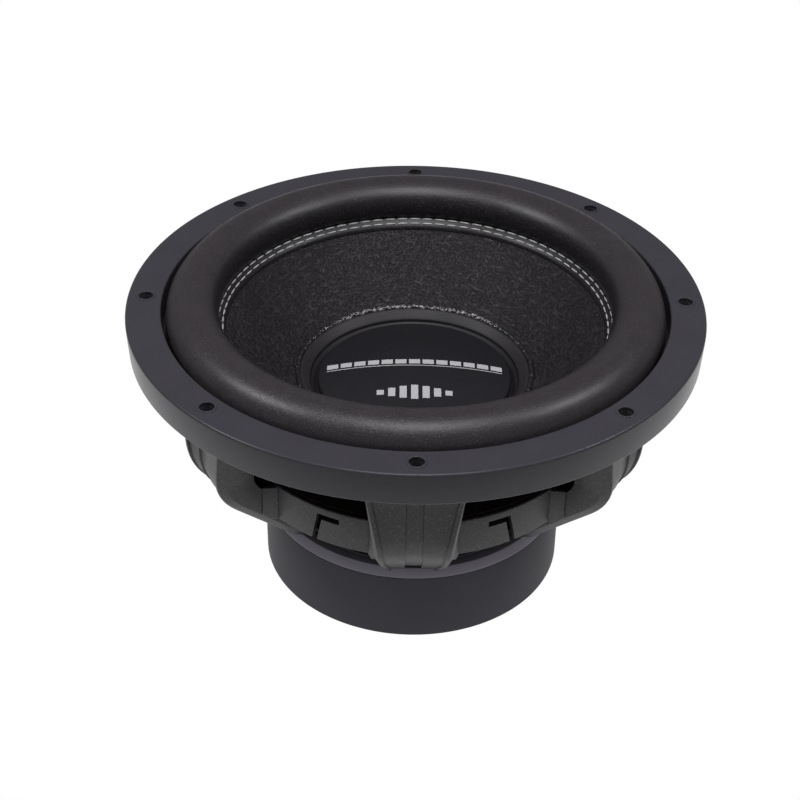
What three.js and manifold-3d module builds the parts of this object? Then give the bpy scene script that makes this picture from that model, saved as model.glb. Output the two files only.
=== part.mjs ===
// A 12-inch (300 mm) car subwoofer loudspeaker, built as separate solids in millimetres.
// +Z points out of the cone. The origin is the centre of the magnet's rest face.
// Angles are degrees around +Z from +X; 270 degrees is the front of the speaker.
import * as THREE from "three";
import { mergeVertices } from "three/addons/utils/BufferGeometryUtils.js";
import Module from "manifold-3d";

const wasm = await Module();
wasm.setup();

// ---- Driving dimensions ----
const GAP = 0.3; // between touching pieces
const FINE = 56; // facets round the flange
const ROUND = 40; // facets round the other large rings
const COIL_ROUND = 32;
const SMALL = 12; // facets round posts, screws and bolt holes

const FLANGE_R = 160;
const HOLE_CIRCLE_R = 149.5;
const HOLE_COUNT = 8;
const HOLE_R = 3.9;
const FLANGE_Z = 153; // the face that sits on the box
const FLANGE_PLATE = 3;
const TRIM_TOP_Z = 172.2;
const TRIM_INNER_R = 140.4;

const ROLL_R = 14.7; // half-roll surround
const ROLL_CENTRE_R = 123.3;
const ROLL_Z = 168;
const ROLL_WALL = 1.6;

const CONE_SLOPE = 0.8116; // rise per mm of radius
const CONE_REF_R = 105.4;
const CONE_REF_Z = 155.7;
const CONE_OUTER_R = 112.2;
const CONE_THICK_Z = 1.93; // 1.5 mm of paper, measured along Z
const coneZ = (r) => CONE_REF_Z + (r - CONE_REF_R) * CONE_SLOPE;

const COIL_R = 38.1; // outside of the 3-inch former
const FORMER_WALL = 0.5;
const FORMER_Z = [26, 103.5];
const WINDING_Z = [28, 60];
const NECK_R = COIL_R + GAP;

const SHELF_Z = 95.7; // spider landing
const SKIRT_R = 103;
const SKIRT_Z = 72.5;
const SHELF_PLATE = 3;
const SPIDER_OUTER_R = 100.5;

const MAGNET_TOP_Z = 48;
const BOOT_R = 87.3;
const FERRITE_R = [45, 83.6];
const TOP_PLATE_R = [41.6, 77.2];
const PLATE_R = 80;
const POLE_R = 36;
const VENT_R = 14.5;

const ARM_ANGLES = [30, 90, 150, 210, 270, 330];
// Stations down one basket arm: radius and height of its outer face, its half width at the
// face and behind the chamfer, and its depth.
const ARM_STATIONS = [
  { r: 142, z: 151.2, half: 28.2, root: 29.2, depth: 6 },
  { r: 135.5, z: 144, half: 26.4, root: 27.4, depth: 13 },
  { r: 134, z: 134, half: 24.6, root: 25.8, depth: 18 },
  { r: 134, z: 104, half: 19.6, root: 21.6, depth: 21 },
  { r: 131.5, z: 94, half: 18.4, root: 21.2, depth: 20.5 },
  { r: 126, z: 85.8, half: 17.6, root: 21, depth: 19 },
  { r: 108, z: 69, half: 16.2, root: 19.8, depth: 16 },
  { r: 80, z: 42.8, half: 14.2, root: 17.5, depth: 10 },
];
const BASE_RING_R = [44.5, 77.4];
const BASE_RING_Z = [MAGNET_TOP_Z + GAP, 52.5];
const BOLT_CIRCLE_R = 62;
const BOLT_ANGLES = [45, 135, 225, 315];
const BOLT_HOLE_R = 2.9;

const BOARD_ANGLES = [60, 120]; // the two rear bays that carry terminals
const BOARD_Z = [SHELF_Z + GAP, 98.8];
const BOARD_Y = [103, 125];
const BOARD_HALF = 22;
const POST_AT = { x: 11, y: 117.5 };
const SCREW_AT = { x: 17, y: 104.6 };
const NECK_HOLE_R = 2.9;
const SCREW_HOLE_R = 1.9;
const POST_R = 5.2;
const POST_BOTTOM_Z = 80.7;
const WIRE_HOLE_R = 2;
const BUTTON_TRAVEL = 3;
const BUTTON_TOP_Z = 74;
const LEAD_R = 0.9;

// ---- Materials ----
const paint = (color, roughness, metalness = 0) =>
  new THREE.MeshStandardMaterial({ color, roughness, metalness });
const MATERIALS = {
  trim: paint(0x2b2b2e, 0.55),
  casting: paint(0x232326, 0.6, 0.3),
  foam: paint(0x35302f, 0.8),
  paper: paint(0x231f20, 0.85),
  cap: paint(0x17171a, 0.5),
  capRing: paint(0x2e2d30, 0.6),
  boot: paint(0x29292c, 0.5),
  steel: paint(0x8a8c90, 0.4, 1),
  ferrite: paint(0x1c1c1e, 0.7),
  copper: paint(0xb4683c, 0.35, 1),
  former: paint(0x141414, 0.5),
  cloth: paint(0x8d7a52, 0.9),
  tinsel: paint(0xc9a25c, 0.5, 0.6),
  phenolic: paint(0x1a1614, 0.6),
  nickel: paint(0xc8c6c0, 0.3, 1),
  red: paint(0xa31515, 0.4),
  black: paint(0x101012, 0.4),
  blackSteel: paint(0x1a1a1c, 0.45, 0.8),
};

// ---- Geometry helpers ----
const radians = (degrees) => (degrees * Math.PI) / 180;

// A solid from a closed three.js geometry, turned right side out.
function solid(geometry) {
  const bare = geometry.clone();
  bare.deleteAttribute("normal");
  bare.deleteAttribute("uv");
  const merged = mergeVertices(bare, 1e-4);
  const build = (triVerts) =>
    new wasm.Manifold(
      new wasm.Mesh({
        numProp: 3,
        vertProperties: merged.attributes.position.array,
        triVerts,
      }),
    );
  const made = build(new Uint32Array(merged.index.array));
  return made.volume() > 0 ? made : build(new Uint32Array([...merged.index.array].reverse()));
}

// A solid of revolution round Z from a closed outline of [radius, height] points.
function turned(outline, facets) {
  const points = [...outline, outline[0]].map(([r, z]) => new THREE.Vector2(r, z));
  const onAxis = outline.filter(([r]) => r === 0).length > 1;
  const profile = onAxis ? points.slice(0, -1) : points;
  return solid(new THREE.LatheGeometry(profile, facets).rotateX(Math.PI / 2));
}

// A vertical rod, from z0 to z1.
function rod(radius, z0, z1, facets = SMALL) {
  const shape = new THREE.CylinderGeometry(radius, radius, z1 - z0, facets);
  return solid(shape.rotateX(Math.PI / 2).translate(0, 0, (z0 + z1) / 2));
}

// A box given by its lowest and highest corners.
function block([x0, y0, z0], [x1, y1, z1]) {
  const shape = new THREE.BoxGeometry(x1 - x0, y1 - y0, z1 - z0);
  return solid(shape.translate((x0 + x1) / 2, (y0 + y1) / 2, (z0 + z1) / 2));
}

// A flat outline in X and Y, extruded from z0 to z1.
function prism(points, z0, z1) {
  const shape = new THREE.Shape(points.map(([x, y]) => new THREE.Vector2(x, y)));
  const options = { depth: z1 - z0, bevelEnabled: false };
  return solid(new THREE.ExtrudeGeometry(shape, options).translate(0, 0, z0));
}

// A round tube along a list of points.
function tube(points, radius, sides, steps) {
  const section = new THREE.Shape();
  section.absarc(0, 0, radius, 0, 2 * Math.PI);
  const path = new THREE.CatmullRomCurve3(points.map((p) => new THREE.Vector3(...p)));
  const options = { steps, extrudePath: path, curveSegments: sides / 2, bevelEnabled: false };
  return solid(new THREE.ExtrudeGeometry(section, options));
}

// Joins a list of closed loops of equal length into one body with flat ends.
function loft(loops, section) {
  const count = section.length;
  const caps = THREE.ShapeUtils.triangulateShape(section, []);
  const last = (loops.length - 1) * count;
  const index = [];
  for (let row = 0; row < loops.length - 1; row += 1) {
    for (let i = 0; i < count; i += 1) {
      const a = row * count + i;
      const b = row * count + ((i + 1) % count);
      index.push(a, b, a + count, b, b + count, a + count);
    }
  }
  for (const [a, b, c] of caps) index.push(c, b, a, last + a, last + b, last + c);
  const positions = new Float32Array(loops.flat().flatMap((p) => p.toArray()));
  const geometry = new THREE.BufferGeometry();
  geometry.setAttribute("position", new THREE.BufferAttribute(positions, 3));
  return solid(geometry.setIndex(index));
}

// Turns a solid that was drawn along +Y so that +Y points at an angle round Z.
const facing = (body, angle) => body.rotate([0, 0, angle - 90]);
const evenAngles = (count) => Array.from({ length: count }, (_, i) => (360 / count) * i);
const addAll = (bodies) => bodies.reduce((sum, body) => sum.add(body));
const cutAll = (body, tools) => tools.reduce((rest, tool) => rest.subtract(tool), body);

const part = new THREE.Group();

// Adds a solid to the part as a named mesh.
function place(name, body, material) {
  const { vertProperties, triVerts } = body.getMesh();
  const geometry = new THREE.BufferGeometry();
  geometry.setAttribute("position", new THREE.BufferAttribute(vertProperties, 3));
  geometry.setIndex(new THREE.BufferAttribute(triVerts, 1));
  geometry.computeVertexNormals();
  const mesh = new THREE.Mesh(geometry, material);
  mesh.name = name;
  part.add(mesh);
}

// ---- Flange trim ----
function trimRing() {
  const skirtFoot = FLANGE_Z + GAP;
  const seat = FLANGE_Z + FLANGE_PLATE + 2.3; // above the surround's glued edge
  const ring = turned(
    [
      [156.6, skirtFoot],
      [159, skirtFoot],
      [FLANGE_R, 169.4],
      [FLANGE_R - 0.8, 171.4],
      [FLANGE_R - 2.8, TRIM_TOP_Z],
      [TRIM_INNER_R + 0.8, TRIM_TOP_Z],
      [TRIM_INNER_R, TRIM_TOP_Z - 0.8],
      [TRIM_INNER_R, seat],
      [156.6, seat],
    ],
    FINE,
  );
  const bosses = evenAngles(HOLE_COUNT).map((angle) =>
    facing(rod(5.2, TRIM_TOP_Z - 1, TRIM_TOP_Z + 0.5).translate([0, HOLE_CIRCLE_R, 0]), angle),
  );
  return cutAll(addAll([ring, ...bosses]), flangeHoles());
}

const flangeHoles = () =>
  evenAngles(HOLE_COUNT).map((angle) =>
    facing(rod(HOLE_R, FLANGE_Z - 5, TRIM_TOP_Z + 5).translate([0, HOLE_CIRCLE_R, 0]), angle),
  );

// ---- Cast basket ----
// One arm is a deep channel: two raised rails and a shallow groove on its outer face, a chamfer,
// and side walls that reach in to the spider shelf. Points are (x, depth).
function armSection({ half, root, depth }) {
  const web = 1.3;
  const groove = 4.25;
  const right = [
    [groove, web + 1],
    [groove + 0.4, web],
    [half - 2.9, web],
    [half - 2.3, 0],
    [half, 0],
    [root, 4.5],
    [root + 0.3, depth],
    [root - 2.3, depth],
    [root - 3, 5.2],
    [half - 3.6, 4.6],
  ];
  const left = right.map(([x, d]) => [-x, d]).reverse();
  return [...right, ...left];
}

function arm() {
  const loops = ARM_STATIONS.map((station, i) => {
    const { r, z } = station;
    const before = ARM_STATIONS[Math.max(i - 1, 0)];
    const after = ARM_STATIONS[Math.min(i + 1, ARM_STATIONS.length - 1)];
    const along = new THREE.Vector2(after.r - before.r, after.z - before.z).normalize();
    return armSection(station).map(
      ([x, d]) => new THREE.Vector3(x, r + along.y * d, z - along.x * d),
    );
  });
  const section = armSection({ half: 20, root: 22, depth: 15 }).map(
    ([x, d]) => new THREE.Vector2(x, d),
  );
  return loft(loops, section);
}

// The gussets that tie the side walls of an arm to the skirt.
function armGussets() {
  const plan = [
    [20, 99],
    [24, 99],
    [24.8, 100],
    [21.4, 108],
    [20, 108],
  ];
  // Its lower edge follows the back of the arm.
  const under = prism([[104.5, 60], [114, 60], [114, 81.1], [104.5, 72.3]], -30, 30).rotate([90, 0, 90]);
  const gusset = prism(plan, SKIRT_Z, SHELF_Z - 1.2).subtract(under);
  return gusset.add(gusset.mirror([1, 0, 0]));
}

// The ledge on the skirt that a terminal board is screwed to.
const boardLedge = () =>
  prism([[-24, 99.5], [24, 99.5], [21, 108.2], [-21, 108.2]], 86, SHELF_Z);

// The L-shaped openings in the skirt in the four bays without terminals, as cutting tools.
function skirtSlots() {
  const level = block([-6, 94, 87.5], [6, 108, 91]);
  const leg = block([-1.6, 94, -14], [1.6, 112, 9.5]);
  const bays = [
    [0, -1],
    [180, 1],
    [240, 1],
    [300, -1],
  ];
  return bays.flatMap(([angle, side]) => [
    facing(level, angle + side * 3.7),
    facing(leg.rotate([0, -side * 12, 0]).translate([0, 0, 81.5]), angle - side * 0.6),
  ]);
}

function basket() {
  const flange = turned(
    [
      [138.6, 150.4],
      [141.6, 150.4],
      [141.6, FLANGE_Z],
      [156.2, FLANGE_Z],
      [156.2, FLANGE_Z + FLANGE_PLATE],
      [138.6, FLANGE_Z + FLANGE_PLATE],
    ],
    FINE,
  );
  const skirt = turned(
    [
      [89, SHELF_Z - SHELF_PLATE],
      [SKIRT_R - 2.8, SHELF_Z - SHELF_PLATE],
      [SKIRT_R - 2.8, SKIRT_Z],
      [SKIRT_R, SKIRT_Z],
      [SKIRT_R, SHELF_Z],
      [89, SHELF_Z],
    ],
    ROUND,
  );
  const baseRing = turned(
    [
      [BASE_RING_R[0], BASE_RING_Z[0]],
      [BASE_RING_R[1], BASE_RING_Z[0]],
      [BASE_RING_R[1], BASE_RING_Z[1]],
      [BASE_RING_R[0], BASE_RING_Z[1]],
    ],
    ROUND,
  );
  const oneArm = arm().add(armGussets());
  const arms = ARM_ANGLES.map((angle) => facing(oneArm, angle));
  const ledges = BOARD_ANGLES.map((angle) => facing(boardLedge(), angle));
  const body = addAll([flange, skirt, baseRing, ...arms, ...ledges]);
  const footNotch = block([-4.5, 78.5, 40], [4.5, 105, 60]);
  return cutAll(body, [
    rod(120, 30, BASE_RING_Z[0], ROUND), // flat under the feet
    rod(BASE_RING_R[0], 40, 60, ROUND),
    ...ARM_ANGLES.map((angle) => facing(footNotch, angle)),
    ...skirtSlots(),
    ...flangeHoles(),
    ...BOLT_ANGLES.map((angle) => facing(rod(BOLT_HOLE_R, 40, 60).translate([0, BOLT_CIRCLE_R, 0]), angle)),
    ...BOARD_ANGLES.flatMap((angle) =>
      [-1, 1].map((side) =>
        facing(rod(SCREW_HOLE_R, 88, 99).translate([side * SCREW_AT.x, SCREW_AT.y, 0]), angle),
      ),
    ),
  ]);
}

// ---- Moving parts ----
// Points on an arc of the surround's section, angles in degrees.
const rollArc = (radius, from, to, steps) =>
  Array.from({ length: steps + 1 }, (_, i) => {
    const a = radians(from + ((to - from) * i) / steps);
    return [ROLL_CENTRE_R + radius * Math.cos(a), ROLL_Z + radius * Math.sin(a)];
  });

function surround() {
  const edgeZ = FLANGE_Z + FLANGE_PLATE + GAP;
  const wallR = ROLL_CENTRE_R + ROLL_R;
  const inner = ROLL_R - ROLL_WALL;
  return turned(
    [
      [wallR - ROLL_WALL, edgeZ],
      [151.5, edgeZ],
      [151.5, edgeZ + 1.7],
      [wallR, edgeZ + 1.7],
      ...rollArc(ROLL_R, 0, 198, 7),
      [110.9, 162.15],
      [106.7, 158.9],
      [105.6, coneZ(105.6) + 0.6],
      [105.9, coneZ(105.9) + GAP],
      [112.5, coneZ(112.5) + GAP],
      ...rollArc(inner, 197, 0, 5),
    ],
    ROUND,
  );
}

function cone() {
  return turned(
    [
      [NECK_R, coneZ(NECK_R) - CONE_THICK_Z],
      [CONE_OUTER_R + 0.4, coneZ(CONE_OUTER_R) - CONE_THICK_Z + 0.4],
      [CONE_OUTER_R, coneZ(CONE_OUTER_R)],
      [NECK_R, coneZ(NECK_R)],
    ],
    ROUND,
  );
}

function capTrimRing() {
  return turned(
    [
      [59.6, coneZ(59.6) + GAP],
      [65.6, coneZ(65.6) + GAP],
      [65.3, 125],
      [64.2, 125.3],
      [60.6, 122],
      [59.6, 121.1],
    ],
    ROUND,
  );
}

function dustCap() {
  const rimR = 55;
  const dome = (drop) =>
    [0, 0.35, 0.7, 1].map((t) => [t * (rimR - drop), 127.5 - drop - 6.5 * t * t]);
  return turned(
    [
      ...dome(1.5),
      [54.2, coneZ(54.2) + GAP],
      [59, coneZ(59) + GAP],
      [59, coneZ(59) + 1],
      [55.8, 117.6],
      ...dome(0).reverse(),
    ],
    ROUND,
  );
}

const sleeve = (inner, outer, [z0, z1], facets = COIL_ROUND) =>
  turned(
    [
      [inner, z0],
      [outer, z0],
      [outer, z1],
      [inner, z1],
    ],
    facets,
  );

// The corrugated cloth disc that centres the coil.
function spider() {
  const cloth = 0.7;
  const firstR = 45;
  const lastR = 85;
  const waves = 4;
  const flatZ = SHELF_Z + GAP;
  const upper = [
    [SPIDER_OUTER_R, flatZ + cloth],
    [lastR + 3, flatZ + cloth],
  ];
  for (let i = waves * 2; i >= 0; i -= 1) {
    const r = firstR + ((lastR - firstR) * i) / (waves * 2);
    upper.push([r, flatZ + cloth + (i % 2 ? 2 : -1.6)]);
  }
  upper.push([41, flatZ + cloth + 0.6], [NECK_R + 0.8, 99], [NECK_R, 99]);
  const lower = upper.slice(0, -1).map(([r, z]) => [r, z - cloth]);
  lower[lower.length - 1] = [NECK_R, 97];
  return turned([...upper.reverse(), ...lower], 28);
}

// ---- Motor ----
function yoke() {
  return turned(
    [
      [18.5, 0],
      [60, 0],
      [60, 3],
      [PLATE_R, 3],
      [PLATE_R, 11],
      [POLE_R, 11],
      [POLE_R, 29.7],
      [POLE_R - 1.4, 29.7],
      [POLE_R - 1.4, 48.6],
      [17.5, 48.6],
      [VENT_R, 45],
      [VENT_R, 6],
    ],
    COIL_ROUND,
  );
}

function magnetBoot() {
  return turned(
    [
      [60.4, 0],
      [85.3, 0],
      [BOOT_R, 2],
      [BOOT_R, MAGNET_TOP_Z - 1],
      [BOOT_R - 0.8, MAGNET_TOP_Z],
      [TOP_PLATE_R[1] + 0.5, MAGNET_TOP_Z],
      [TOP_PLATE_R[1] + 0.5, MAGNET_TOP_Z - 2.4],
      [84.3, MAGNET_TOP_Z - 2.4],
      [84.3, 2.7],
      [60.4, 2.7],
    ],
    ROUND,
  );
}

function topPlate() {
  const plate = sleeve(...TOP_PLATE_R, [39.8, MAGNET_TOP_Z], ROUND);
  return cutAll(
    plate,
    BOLT_ANGLES.map((angle) =>
      facing(rod(BOLT_HOLE_R, 30, 60).translate([0, BOLT_CIRCLE_R, 0]), angle),
    ),
  );
}

function ventScreen() {
  const holes = [{ count: 1, at: 0 }, { count: 7, at: 8.6 }];
  const tools = holes.flatMap(({ count, at }) =>
    evenAngles(count).map((angle) => facing(rod(2.8, 0, 5, 6).translate([0, at, 0]), angle)),
  );
  return cutAll(rod(15.8, 1, 1.8, 20), tools);
}

// ---- Fasteners ----
// A bolt with a hexagon socket; z is the underside of its head.
function socketBolt(z) {
  const head = rod(4.2, z, z + 4.6).add(rod(2.5, 41.5, z + 1));
  return head.subtract(rod(2, z + 2, z + 6, 6));
}

// A cross-recess screw; z is the underside of its head.
function boardScrew(z) {
  const body = rod(3, z, z + 1.8).add(rod(1.5, z - 9, z + 0.5, 8));
  const slot = block([-1.8, -0.35, z + 0.9], [1.8, 0.35, z + 3]);
  return cutAll(body, [slot, slot.rotate([0, 0, 90])]);
}

// ---- Terminals ----
function terminalBoard() {
  const [y0, y1] = BOARD_Y;
  const corner = 4;
  const outline = [
    [-BOARD_HALF, y0],
    [BOARD_HALF, y0],
    [BOARD_HALF, y1 - corner],
    [BOARD_HALF - corner, y1],
    [corner - BOARD_HALF, y1],
    [-BOARD_HALF, y1 - corner],
  ];
  const [z0, z1] = BOARD_Z;
  const holes = [-1, 1].flatMap((side) => [
    rod(NECK_HOLE_R, z0 - 2, z1 + 2).translate([side * POST_AT.x, POST_AT.y, 0]),
    rod(SCREW_HOLE_R, z0 - 2, z1 + 2).translate([side * SCREW_AT.x, SCREW_AT.y, 0]),
  ]);
  return cutAll(prism(outline, z0, z1), holes);
}

// A horizontal wire hole across a post or a plunger, along Y.
const wireHole = (z) =>
  solid(new THREE.CylinderGeometry(WIRE_HOLE_R, WIRE_HOLE_R, 20, 8).translate(0, 0, z));

const WIRE_Z = 85.5;

function terminalPost() {
  const body = turned(
    [
      [0, 92.4],
      [3.6, 92.4],
      [3.6, POST_BOTTOM_Z],
      [POST_R, POST_BOTTOM_Z],
      [POST_R, BOARD_Z[0] - GAP],
      [2.6, BOARD_Z[0] - GAP],
      [2.6, 100.2],
      [4, 100.2],
      [4, 101],
      [0, 101],
    ],
    SMALL,
  );
  return body.subtract(wireHole(WIRE_Z));
}

function terminalButton() {
  const body = turned(
    [
      [0, BUTTON_TOP_Z - 6.4],
      [4.9, BUTTON_TOP_Z - 6.4],
      [5.4, BUTTON_TOP_Z - 5.8],
      [5.4, BUTTON_TOP_Z],
      [3.2, BUTTON_TOP_Z],
      [3.2, 88.5],
      [0, 88.5],
    ],
    SMALL,
  );
  return body.subtract(wireHole(WIRE_Z - BUTTON_TRAVEL));
}

function terminalSpring() {
  const turns = 4;
  const stepsPerTurn = 7;
  const coilR = 4.3;
  const wireR = 0.3;
  const low = BUTTON_TOP_Z + GAP + wireR;
  const high = POST_BOTTOM_Z - GAP - wireR;
  const points = Array.from({ length: turns * stepsPerTurn + 1 }, (_, i) => {
    const a = (2 * Math.PI * i) / stepsPerTurn;
    const z = low + ((high - low) * i) / (turns * stepsPerTurn);
    return [coilR * Math.cos(a), coilR * Math.sin(a), z];
  });
  return tube(points, wireR, 4, turns * stepsPerTurn);
}

function solderTag() {
  const z0 = BOARD_Z[1] + GAP;
  const strip = block([-2.4, -8.5, z0], [2.4, 0, z0 + 0.8]).add(rod(4.2, z0, z0 + 0.8));
  return cutAll(strip, [
    rod(NECK_HOLE_R, z0 - 1, z0 + 2),
    rod(0.9, z0 - 1, z0 + 2, 6).translate([0, -6.6, 0]),
  ]);
}

// A tinsel lead sewn across the spider, from the coil former to a solder tag.
function tinselLead(side) {
  const route = [
    [side * 5.6, 41.6, 100.3],
    [side * 6.6, 55, 100.5],
    [side * 9, 80, 100.3],
    [side * 10.4, 96, 100.1],
    [side * 10.9, 102.5, 101],
    [side * 11, 108.4, 101.1],
  ];
  return tube(route, LEAD_R, 6, 10);
}

// ---- Assembly ----
place("gasket_ring", trimRing(), MATERIALS.trim);
place("basket", basket(), MATERIALS.casting);
place("surround", surround(), MATERIALS.foam);
place("cone", cone(), MATERIALS.paper);
place("cap_trim_ring", capTrimRing(), MATERIALS.capRing);
place("dust_cap", dustCap(), MATERIALS.cap);
place("voice_coil_former", sleeve(COIL_R - FORMER_WALL, COIL_R, FORMER_Z), MATERIALS.former);
place("voice_coil_winding", sleeve(NECK_R, NECK_R + 1.6, WINDING_Z), MATERIALS.copper);
place("spider", spider(), MATERIALS.cloth);
place("top_plate", topPlate(), MATERIALS.steel);
place("magnet_upper", sleeve(...FERRITE_R, [25.5, 39.5], ROUND), MATERIALS.ferrite);
place("magnet_lower", sleeve(...FERRITE_R, [11.3, 25.2], ROUND), MATERIALS.ferrite);
place("t_yoke", yoke(), MATERIALS.steel);
place("shorting_ring", sleeve(34.9, POLE_R, [30, 48.6]), MATERIALS.copper);
place("magnet_boot", magnetBoot(), MATERIALS.boot);
place("vent_screen", ventScreen(), MATERIALS.blackSteel);

BOLT_ANGLES.forEach((angle, i) => {
  const bolt = socketBolt(BASE_RING_Z[1] + GAP).translate([0, BOLT_CIRCLE_R, 0]);
  place(`basket_bolt_${i + 1}`, facing(bolt, angle), MATERIALS.blackSteel);
});

BOARD_ANGLES.forEach((angle, board) => {
  place(`terminal_board_${board + 1}`, facing(terminalBoard(), angle), MATERIALS.phenolic);
  [-1, 1].forEach((side, i) => {
    const number = board * 2 + i + 1;
    const onPost = (body) => facing(body.translate([side * POST_AT.x, POST_AT.y, 0]), angle);
    const screw = boardScrew(BOARD_Z[1] + GAP).translate([side * SCREW_AT.x, SCREW_AT.y, 0]);
    place(`terminal_post_${number}`, onPost(terminalPost()), MATERIALS.nickel);
    place(`terminal_button_${number}`, onPost(terminalButton()), i ? MATERIALS.black : MATERIALS.red);
    place(`terminal_spring_${number}`, onPost(terminalSpring()), MATERIALS.steel);
    place(`solder_tag_${number}`, onPost(solderTag()), MATERIALS.nickel);
    place(`tinsel_lead_${number}`, facing(tinselLead(side), angle), MATERIALS.tinsel);
    place(`board_screw_${number}`, facing(screw, angle), MATERIALS.blackSteel);
  });
});

export default part;
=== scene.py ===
# %% [markdown]
# # A twelve-inch car subwoofer in Blender
#
# The speaker was designed as separate solids, and that design is loaded first as a fixed frame.
# Every visible piece is then modelled around the frame, in metres, at the place the design gives.
# This lesson goes from the outside in: camera and light, finishes, flange, cone, basket, motor
# and terminals.

# %% Load the frame
import math

import bpy
import numpy as np
from mathutils import Matrix, Vector


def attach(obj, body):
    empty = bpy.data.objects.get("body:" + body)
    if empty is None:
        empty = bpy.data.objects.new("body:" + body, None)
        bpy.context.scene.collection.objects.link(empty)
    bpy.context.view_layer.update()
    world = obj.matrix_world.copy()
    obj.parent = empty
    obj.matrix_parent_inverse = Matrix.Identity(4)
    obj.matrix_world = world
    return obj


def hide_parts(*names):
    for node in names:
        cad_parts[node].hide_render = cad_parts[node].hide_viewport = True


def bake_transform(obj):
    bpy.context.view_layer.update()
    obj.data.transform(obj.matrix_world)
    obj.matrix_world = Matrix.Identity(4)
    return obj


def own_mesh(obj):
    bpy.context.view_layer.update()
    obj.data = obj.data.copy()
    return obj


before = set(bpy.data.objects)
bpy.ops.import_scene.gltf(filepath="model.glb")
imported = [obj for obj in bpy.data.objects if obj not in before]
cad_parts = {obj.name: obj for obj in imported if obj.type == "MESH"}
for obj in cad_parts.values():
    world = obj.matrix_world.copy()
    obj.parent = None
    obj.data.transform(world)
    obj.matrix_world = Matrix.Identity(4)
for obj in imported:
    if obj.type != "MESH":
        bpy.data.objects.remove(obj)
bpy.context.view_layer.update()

# %% [markdown]
# ## Camera and light
#
# The camera stands in front of the speaker and looks down at about 35 degrees. Its place is given
# in metres from the middle of the rest face, and its roll is under one degree. A long lens keeps
# the round shapes calm. The light is a studio one: a dim room, a small soft box on each side, and
# a larger one above. Nearly black pieces show their shape only by what they reflect, so the
# boxes stand where their reflections run along the rolls and edges.

# %% Camera and light
CAMERA_PLACE = Vector((-0.0106, -0.8182, 0.6793))
CAMERA_LOOKS = Vector((0.00256, 0.81784, -0.57543))
CAMERA_ROLL = math.radians(0.78)
LENS_MM = 78.06

scene = bpy.context.scene
scene.view_settings.view_transform = "Standard"
camera_data = bpy.data.cameras.new("camera")
camera_data.lens = LENS_MM
camera = bpy.data.objects.new("camera", camera_data)
camera.location = CAMERA_PLACE
camera.rotation_mode = "QUATERNION"
level_view = CAMERA_LOOKS.to_track_quat("-Z", "Y")
camera.rotation_quaternion = level_view @ Matrix.Rotation(CAMERA_ROLL, 3, "Z").to_quaternion()
scene.collection.objects.link(camera)
scene.camera = camera

world = bpy.data.worlds.new("studio")
scene.world = world
world.use_nodes = True
room = world.node_tree.nodes["Background"]
room.inputs["Color"].default_value = (0.97, 0.94, 1.06, 1)
room.inputs["Strength"].default_value = 0.16


def soft_box(name, azimuth, elevation, distance, size, watts):
    """A square area light that faces the speaker. Azimuth 0 is in front, positive to the right."""
    data = bpy.data.lights.new(name, "AREA")
    data.shape = "SQUARE"
    data.size = size
    data.energy = watts
    lamp = bpy.data.objects.new(name, data)
    side, up = math.radians(azimuth), math.radians(elevation)
    away = Vector((math.sin(side) * math.cos(up), -math.cos(side) * math.cos(up), math.sin(up)))
    lamp.location = away * distance + Vector((0, 0, 0.12))
    lamp.rotation_euler = (-away).to_track_quat("-Z", "Y").to_euler()
    scene.collection.objects.link(lamp)


soft_box("box_left", -84, 47, 1.6, 0.32, 7)
soft_box("box_right", 84, 47, 1.6, 0.32, 5.5)
soft_box("box_above", 0, 72, 1.5, 0.7, 10)
print("camera looks down", round(math.degrees(math.asin(-CAMERA_LOOKS.z)), 1), "degrees")

# %% [markdown]
# ## Shader maths
#
# A finish is a node tree. Written by hand, each sum is a node and two links. A small wrapper
# round a socket lets a sum be written as Python: `height * 0.5 + speck` adds two Math nodes.
# Every other node comes from one method, so a finish reads from top to bottom.


# %% A socket that can be added and multiplied
class Value:
    """An output socket of a node. Arithmetic on it adds Math nodes to its material."""

    def __init__(self, finish, socket):
        self.finish = finish
        self.socket = socket

    def math(self, operation, *others):
        inputs = {0: self, **dict(enumerate(others, start=1))}
        return self.finish.node("ShaderNodeMath", {"operation": operation}, inputs)

    def __add__(self, other):
        return self.math("ADD", other)

    def __mul__(self, other):
        return self.math("MULTIPLY", other)

    __radd__ = __add__
    __rmul__ = __mul__

    def over(self, low, high):
        """0 below low, 1 above high, and a straight slope between."""
        inputs = {"Value": self, "From Min": low, "From Max": high}
        return self.finish.node("ShaderNodeMapRange", {"clamp": True}, inputs)


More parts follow.
